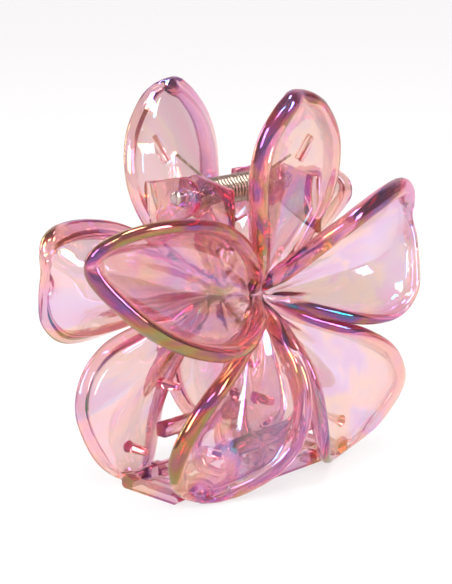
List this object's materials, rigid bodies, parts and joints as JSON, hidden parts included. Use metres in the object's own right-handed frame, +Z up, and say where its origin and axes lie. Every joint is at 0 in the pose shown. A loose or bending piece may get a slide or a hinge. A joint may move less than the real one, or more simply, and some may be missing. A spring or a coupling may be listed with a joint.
{
  "type": "flower hair claw clip",
  "caption": "Clear pink flower-shaped hair claw clip: two sprung jaws of cupped petals on a hinge pin, with interlocking comb teeth, standing closed.",
  "frame": {"origin": "centre of the closed clip's footprint, on the plane it stands on", "axes": "+Z up towards the finger handles, Y along the hinge pin, +X towards the front jaw's flower face"},
  "size_m": [0.0428, 0.0926, 0.0785],
  "materials": {
    "pink_plastic": "clear gloss with an iridescent coat",
    "pin_steel": "plain steel",
    "spring_wire": "bright drawn wire"
  },
  "bodies": {
    "rear_jaw": {"rear_handle_petal": "pink_plastic", "rear_left_petal": "pink_plastic", "rear_right_petal": "pink_plastic", "rear_lower_left_petal": "pink_plastic", "rear_lower_right_petal": "pink_plastic", "rear_left_hinge_lug": "pink_plastic", "rear_right_hinge_lug": "pink_plastic", "rear_comb": "pink_plastic", "rear_grip_pegs": "pink_plastic", "rear_spring_rib": "pink_plastic", "hinge_pin": "pin_steel", "torsion_spring": "spring_wire"},
    "front_jaw": {"front_handle_petal": "pink_plastic", "front_left_petal": "pink_plastic", "front_right_petal": "pink_plastic", "front_lower_left_petal": "pink_plastic", "front_lower_right_petal": "pink_plastic", "front_left_hinge_lug": "pink_plastic", "front_right_hinge_lug": "pink_plastic", "front_comb": "pink_plastic", "front_grip_pegs": "pink_plastic", "front_spring_rib": "pink_plastic"}
  },
  "joints": [
    {"name": "jaw_hinge", "type": "hinge", "parent": "rear_jaw", "child": "front_jaw", "pos_m": [0, 0, 0.0584], "axis": [0, -1, 0], "range_deg": [0, 45], "stiffness_Nm_per_rad": 0.1, "springref_deg": -68.75, "deforming": ["torsion_spring"]}
  ]
}
